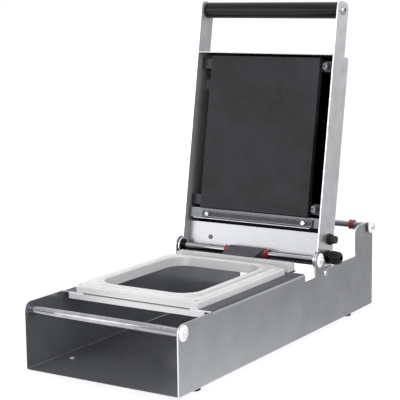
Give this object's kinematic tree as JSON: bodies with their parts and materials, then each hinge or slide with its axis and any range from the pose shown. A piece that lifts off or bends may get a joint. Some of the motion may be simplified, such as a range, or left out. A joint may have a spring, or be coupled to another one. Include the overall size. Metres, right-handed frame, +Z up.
{
  "type": "tray sealer",
  "caption": "Manual tray sealer: steel base with a tray mould and film spindle, and a heated lid with a cutting blade and a handle that swings down onto the tray.",
  "frame": {"origin": "mid-width and mid-length of the base's folded shell, on the table under the feet", "axes": "+X to the machine's right hand side with the button, +Y from the open front to the film spindle at the rear, +Z up"},
  "size_m": [0.2797, 0.57, 0.5006],
  "materials": {
    "brushed_steel": "brushed along the length",
    "lid_steel": "bright satin",
    "polished_steel": "polished",
    "steel_screws": "satin",
    "pale_caps": "glossy",
    "pale_aluminium": "fine satin",
    "dark_coated_aluminium": "matt non-stick coating",
    "white_silicone": "matt",
    "black_rubber": "matt",
    "black_plastic": "satin",
    "grey_plastic": "satin",
    "pale_plastic": "matt",
    "red_plastic": "glossy",
    "mica": "matt",
    "mineral_wool": "soft"
  },
  "bodies": {
    "base": {"base_shell": "brushed_steel", "front_rod": "polished_steel", "hinge_rod": "polished_steel", "rod_caps": "pale_caps", "rod_screws": "steel_screws", "stop_pins": "polished_steel", "stop_screws": "steel_screws", "rubber_feet": "black_rubber", "foot_screws": "steel_screws", "front_rail": "pale_aluminium", "front_rail_screws": "steel_screws", "cutting_rail": "pale_aluminium", "cutting_rail_screws": "steel_screws", "tray_mould": "pale_aluminium", "mould_gasket": "white_silicone", "locating_pins": "steel_screws"},
    "spindle": {"film_spindle": "polished_steel", "spindle_caps": "pale_caps", "spindle_screws": "steel_screws"},
    "spindle_ring_left": {"spindle_ring_left": "red_plastic"},
    "spindle_ring_right": {"spindle_ring_right": "red_plastic"},
    "hinge_ring_left": {"hinge_ring_left": "red_plastic"},
    "hinge_ring_right": {"hinge_ring_right": "red_plastic"},
    "flap": {"film_flap": "grey_plastic"},
    "button": {"button_cap": "black_rubber"},
    "lid": {"left_side_plate": "lid_steel", "right_side_plate": "lid_steel", "hinge_bushes": "black_plastic", "top_plate": "lid_steel", "rear_cover": "lid_steel", "cover_tabs": "lid_steel", "cover_screws": "steel_screws", "lower_panel": "lid_steel", "panel_screw": "steel_screws", "heating_plate": "dark_coated_aluminium", "heater_bars": "dark_coated_aluminium", "bar_brackets": "lid_steel", "bar_bolts": "steel_screws", "bolt_washers": "steel_screws", "heater_studs": "steel_screws", "heating_element": "mica", "insulation": "mineral_wool", "insulation_pan": "lid_steel", "thermostat": "pale_plastic", "knife_bridge": "lid_steel", "knife_holder": "grey_plastic", "knife_blade": "polished_steel", "holder_screws": "steel_screws", "terminal_block": "pale_plastic", "handle_core": "polished_steel", "handle_grip": "black_plastic", "handle_screws": "steel_screws", "cable_gland": "black_plastic", "gland_cap": "black_plastic", "gland_locknut": "black_plastic", "button_collar": "black_plastic", "collar_locknut": "black_plastic"}
  },
  "joints": [
    {"name": "lid_hinge", "type": "hinge", "parent": "base", "child": "lid", "pos_m": [0, 0.101, 0.118], "axis": [1, 0, 0], "range_deg": [0, 100]},
    {"name": "spindle_spin", "type": "hinge", "parent": "base", "child": "spindle", "pos_m": [0, 0.273, 0.142], "axis": [1, 0, 0], "continuous": true},
    {"name": "spindle_ring_left_slide", "type": "slide", "parent": "spindle", "child": "spindle_ring_left", "axis": [-1, 0, 0], "range_m": [-0.07, 0.02]},
    {"name": "spindle_ring_right_slide", "type": "slide", "parent": "spindle", "child": "spindle_ring_right", "axis": [1, 0, 0], "range_m": [-0.07, 0.02]},
    {"name": "hinge_ring_left_slide", "type": "slide", "parent": "base", "child": "hinge_ring_left", "axis": [-1, 0, 0], "range_m": [0, 0.07]},
    {"name": "hinge_ring_right_slide", "type": "slide", "parent": "base", "child": "hinge_ring_right", "axis": [1, 0, 0], "range_m": [0, 0.07]},
    {"name": "flap_swing", "type": "hinge", "parent": "base", "child": "flap", "pos_m": [0, 0.101, 0.118], "axis": [-1, 0, 0], "range_deg": [0, 12]},
    {"name": "button_press", "type": "slide", "parent": "lid", "child": "button", "axis": [-1, 0, 0], "range_m": [0, 0.003], "stiffness_N_per_m": 400}
  ]
}
